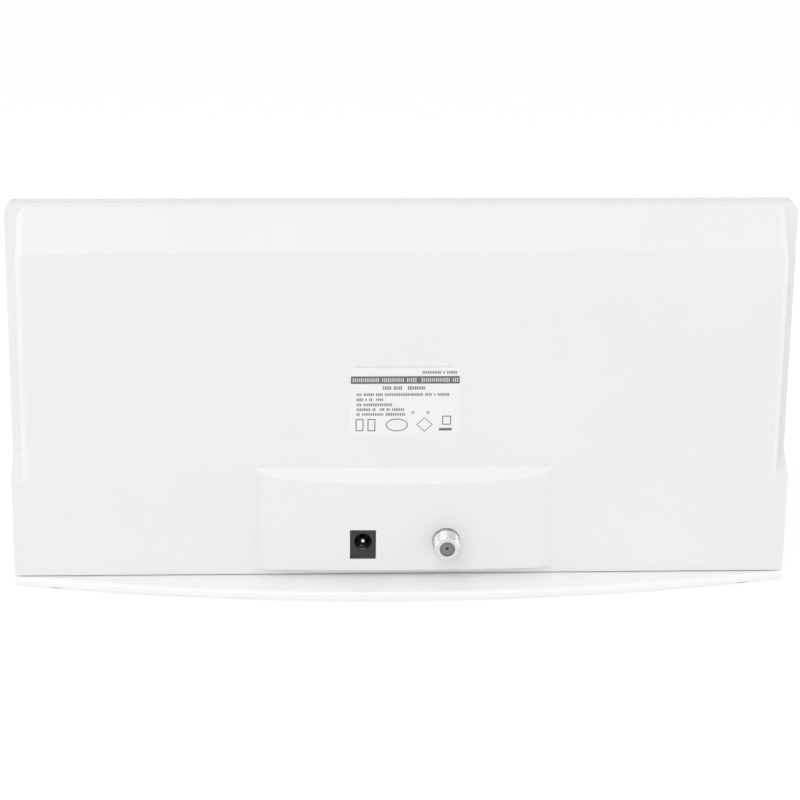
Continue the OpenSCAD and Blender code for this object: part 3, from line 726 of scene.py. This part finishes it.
def typeTree(name, material):
    # blank type blocks set along every edge, with gaps left at random as between words
    tree, entry, output = startTree(name, [
        ("Pitch", "NodeSocketFloat", 0.6 * mm),
        ("Width", "NodeSocketFloat", 0.4 * mm),
        ("Ink", "NodeSocketFloat", 0.02 * mm),
        ("Gap Share", "NodeSocketFloat", 0.15),
        ("Shortest", "NodeSocketFloat", 0.7),
        ("Seed", "NodeSocketInt", 1),
    ])
    lines = addNode(tree, "GeometryNodeMeshToCurve", Mesh=entry.outputs["Geometry"])
    points = addNode(tree, "GeometryNodeCurveToPoints", Curve=lines.outputs["Curve"])
    points.mode = "LENGTH"
    tree.links.new(entry.outputs["Pitch"], points.inputs["Length"])
    gap = tree.nodes.new("FunctionNodeRandomValue")
    gap.data_type = "BOOLEAN"
    tree.links.new(entry.outputs["Seed"], gap.inputs["Seed"])
    tree.links.new(entry.outputs["Gap Share"], gap.inputs["Probability"])
    kept = addNode(tree, "GeometryNodeDeleteGeometry", Geometry=points.outputs["Points"])
    kept.domain = "POINT"
    gapOut = [socket for socket in gap.outputs if socket.type == "BOOLEAN"][0]
    tree.links.new(gapOut, kept.inputs["Selection"])
    block = addNode(tree, "GeometryNodeMeshCube", Size=(1, 1, 1))
    height = tree.nodes.new("GeometryNodeInputNamedAttribute")
    height.data_type = "FLOAT"
    height.inputs["Name"].default_value = "blockHeight"
    uneven = tree.nodes.new("FunctionNodeRandomValue")
    uneven.data_type = "FLOAT"
    lowest, highest = [socket for socket in uneven.inputs if socket.type == "VALUE"][:2]
    tree.links.new(entry.outputs["Shortest"], lowest)
    highest.default_value = 1.0
    tree.links.new(entry.outputs["Seed"], uneven.inputs["Seed"])
    unevenOut = [socket for socket in uneven.outputs if socket.type == "VALUE"][0]
    tall = tree.nodes.new("ShaderNodeMath")
    tall.operation = "MULTIPLY"
    heightOut = [socket for socket in height.outputs if socket.name == "Attribute" and socket.enabled][0]
    tree.links.new(heightOut, tall.inputs[0])
    tree.links.new(unevenOut, tall.inputs[1])
    size = tree.nodes.new("ShaderNodeCombineXYZ")
    tree.links.new(entry.outputs["Width"], size.inputs["X"])
    tree.links.new(entry.outputs["Ink"], size.inputs["Y"])
    tree.links.new(tall.outputs[0], size.inputs["Z"])
    blocks = addNode(tree, "GeometryNodeInstanceOnPoints", Points=kept.outputs["Geometry"],
                     Instance=block.outputs["Mesh"], Scale=size.outputs["Vector"])
    endTree(tree, blocks.outputs["Instances"], output, material)
    return tree


def setType(piece, material, kind):
    runTree(piece, typeTree(piece.name + "Tree", material), {
        "Pitch": labelPrint[kind + "Pitch"] * mm,
        "Width": labelPrint[kind + "Width"] * mm,
        "Ink": labelPrint["inkHeight"] * 2,
        "Gap Share": labelPrint[kind + "GapShare"],
        "Shortest": labelPrint["shortestBlock"],
        "Seed": labelPrint["seed"],
    })
    return piece


printed = [
    inkPiece("labelHeader", drawHeader, inkBar),
    inkPiece("labelFrames", drawFrames, inkDark),
    inkPiece("labelTopEdgeShade", drawTopEdgeShade, paintedEdgeShade),
    setType(rowLines("labelRows", labelPrint["rows"], 0), inkDark, "block"),
    setType(rowLines("labelHeaderRow", labelPrint["headerRows"], labelPrint["inkHeight"]),
            inkPaper, "header"),
]
for piece in printed:
    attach(piece, "root")
print("label printed:", sum(len(piece.data.polygons) for piece in printed), "faces")


# Studio: a pale floor that shows white to the camera but keeps the shadow,
# even light all round, a broad soft lamp and one small lamp at each side.
studio = {
    "floorWidth": 6.0,
    "floorTone": 0.95,
    "shadowTone": 0.3,
    "floorGlow": 0.76,
    "worldStrength": 0.67,
    "keySize": 1.6,
    "keyWatts": 11.2,
    "keyPlace": (-0.63, -1.4, 1.43),
    "sideSize": 0.8,
    "leftWatts": 3.1,
    "rightWatts": 4.4,
    "leftPlace": (-1.34, -0.22, 0.3),
    "rightPlace": (1.33, -0.24, 0.3),
    "lampAim": (0, 0, 0.07),
}


def seenOrMirrored(tree):
    # 1 for a ray from the camera, or one that comes by way of gloss or glass
    path = tree.nodes.new("ShaderNodeLightPath")
    total = path.outputs["Is Camera Ray"]
    for label in ("Is Glossy Ray", "Is Transmission Ray"):
        either = tree.nodes.new("ShaderNodeMath")
        either.operation = "MAXIMUM"
        tree.links.new(total, either.inputs[0])
        tree.links.new(path.outputs[label], either.inputs[1])
        total = either.outputs[0]
    return total


def floorMaterial():
    material = bpy.data.materials.new("studioFloor")
    material.use_nodes = True
    tree = material.node_tree
    tree.nodes.remove(tree.nodes["Principled BSDF"])
    plain = tree.nodes.new("ShaderNodeBsdfDiffuse")
    plain.inputs["Color"].default_value = (*grey(studio["floorTone"]), 1)
    shaded = tree.nodes.new("ShaderNodeBsdfDiffuse")
    shaded.inputs["Color"].default_value = (*grey(studio["shadowTone"]), 1)
    lit = tree.nodes.new("ShaderNodeEmission")
    lit.inputs["Color"].default_value = (1, 1, 1, 1)
    lit.inputs["Strength"].default_value = studio["floorGlow"]
    both = tree.nodes.new("ShaderNodeAddShader")
    tree.links.new(shaded.outputs[0], both.inputs[0])
    tree.links.new(lit.outputs[0], both.inputs[1])
    mix = tree.nodes.new("ShaderNodeMixShader")
    tree.links.new(seenOrMirrored(tree), mix.inputs[0])
    tree.links.new(plain.outputs[0], mix.inputs[1])
    tree.links.new(both.outputs[0], mix.inputs[2])
    tree.links.new(mix.outputs[0], tree.nodes["Material Output"].inputs["Surface"])
    return material


half = studio["floorWidth"] / 2
floorMesh = bpy.data.meshes.new("studioFloor")
floorCorners = [(-half, -half, 0), (half, -half, 0), (half, half, 0), (-half, half, 0)]
floorMesh.from_pydata(floorCorners, [], [(0, 1, 2, 3)])
floorMesh.materials.append(floorMaterial())
linkPiece("studioFloor", floorMesh)

world = bpy.data.worlds.new("studioWorld")
bpy.context.scene.world = world
world.use_nodes = True
worldTree = world.node_tree
background = worldTree.nodes["Background"]
background.inputs["Color"].default_value = (1, 1, 1, 1)
background.inputs["Strength"].default_value = studio["worldStrength"]
white = worldTree.nodes.new("ShaderNodeBackground")
white.inputs["Color"].default_value = (1, 1, 1, 1)
white.inputs["Strength"].default_value = 1.0
worldMix = worldTree.nodes.new("ShaderNodeMixShader")
worldTree.links.new(seenOrMirrored(worldTree), worldMix.inputs[0])
worldTree.links.new(background.outputs[0], worldMix.inputs[1])
worldTree.links.new(white.outputs[0], worldMix.inputs[2])
worldTree.links.new(worldMix.outputs[0], worldTree.nodes["World Output"].inputs["Surface"])


def softLamp(name, place, size, watts):
    light = bpy.data.lights.new(name, "AREA")
    light.shape = "SQUARE"
    light.size = size
    light.energy = watts
    lamp = bpy.data.objects.new(name, light)
    bpy.context.scene.collection.objects.link(lamp)
    lamp.location = place
    lamp.rotation_mode = "QUATERNION"
    lamp.rotation_quaternion = (Vector(studio["lampAim"]) - Vector(place)).to_track_quat("-Z", "Y")


softLamp("keyLamp", studio["keyPlace"], studio["keySize"], studio["keyWatts"])
for side in ("left", "right"):
    softLamp(side + "Lamp", studio[side + "Place"], studio["sideSize"], studio[side + "Watts"])

# Camera: the photograph's angle, from fitting the panel's outline and the sockets to it.
# Lengths in metres, angles in degrees.
cameraFit = {
    "aim": (0, 0, 0.068),
    "azimuth": -2.9012,
    "elevation": 19.7387,
    "distance": 1.0001,
    "roll": 0.7067,
    "focalPixels": 2806.38,
    "centrePixels": (401.707, 396.582),
    "framePixels": 800,
    "sensor": 36.0,
    "clip": (0.05, 20),
}


def placeCamera(fit):
    azimuth, elevation, roll = (math.radians(fit[key]) for key in ("azimuth", "elevation", "roll"))
    level = math.cos(elevation)
    back = Vector((math.sin(azimuth) * level, -math.cos(azimuth) * level, math.sin(elevation)))
    right = (-back).cross(Vector((0, 0, 1))).normalized()
    up = right.cross(-back)
    turnedRight = math.cos(roll) * right + math.sin(roll) * up
    turnedUp = -math.sin(roll) * right + math.cos(roll) * up
    data = bpy.data.cameras.new("photoCamera")
    data.sensor_width = fit["sensor"]
    data.lens = fit["focalPixels"] / fit["framePixels"] * fit["sensor"]
    data.shift_x = (fit["framePixels"] / 2 - fit["centrePixels"][0]) / fit["framePixels"]
    data.shift_y = (fit["centrePixels"][1] - fit["framePixels"] / 2) / fit["framePixels"]
    data.clip_start, data.clip_end = fit["clip"]
    camera = bpy.data.objects.new("photoCamera", data)
    bpy.context.scene.collection.objects.link(camera)
    camera.matrix_world = Matrix.Translation(Vector(fit["aim"]) + back * fit["distance"]) @ Matrix(
        (turnedRight, turnedUp, back)).transposed().to_4x4()
    bpy.context.scene.camera = camera


placeCamera(cameraFit)
bpy.context.scene.view_settings.view_transform = "Standard"
print("studio set")
